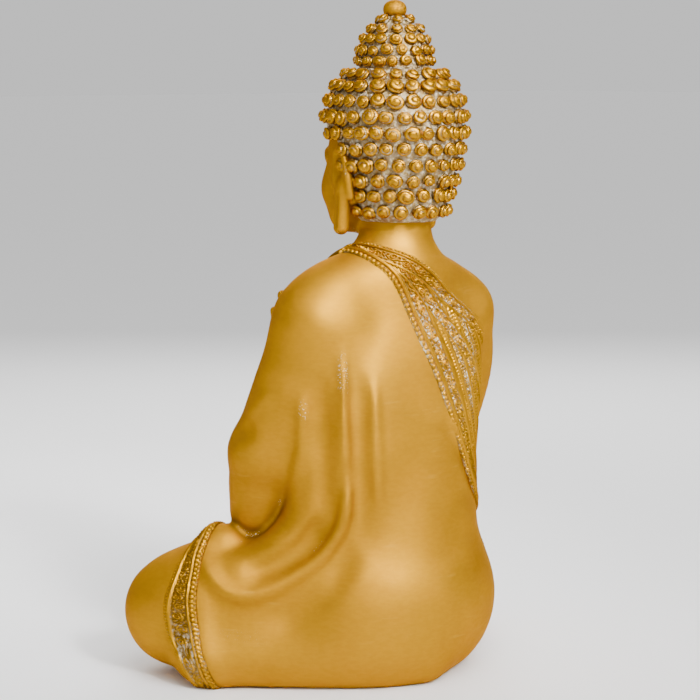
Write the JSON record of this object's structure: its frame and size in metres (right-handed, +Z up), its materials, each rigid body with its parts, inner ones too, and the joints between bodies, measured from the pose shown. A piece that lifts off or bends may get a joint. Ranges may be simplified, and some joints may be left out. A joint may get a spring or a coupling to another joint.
{
  "type": "seated buddha statue",
  "caption": "Seated buddha figure in satin gold resin, with snail-curl hair, a ribbed and filigreed sash, and hem bands at the knees, standing on a flat base.",
  "frame": {"origin": "centre of the figure's footprint on the resting plane", "axes": "+Z up, the figure faces -Y, its own left side is +X"},
  "size_m": [0.274, 0.166, 0.4],
  "materials": {
    "gold_paint": "satin",
    "washed_gold": "satin",
    "dowel_steel": "satin",
    "base_board": "matte",
    "felt": "matte"
  },
  "bodies": {
    "root": {"lap_casting": "gold_paint", "torso_casting": "gold_paint", "left_sleeve": "gold_paint", "right_upper_arm": "gold_paint", "left_forearm": "gold_paint", "right_forearm": "gold_paint", "left_hand": "gold_paint", "right_hand": "gold_paint", "left_foot": "gold_paint", "right_foot": "gold_paint", "head_casting": "gold_paint", "left_ear": "gold_paint", "right_ear": "gold_paint", "hair_cap": "washed_gold", "hair_curls": "washed_gold", "ushnisha": "washed_gold", "ushnisha_curls": "washed_gold", "crown_finial": "gold_paint", "sash_cloth": "washed_gold", "sash_edge_beads": "washed_gold", "left_hem_band": "washed_gold", "left_hem_beads": "washed_gold", "right_hem_band": "washed_gold", "right_hem_beads": "washed_gold", "neck_dowel": "dowel_steel", "base_plate": "base_board", "felt_sheet": "felt"}
  },
  "joints": []
}
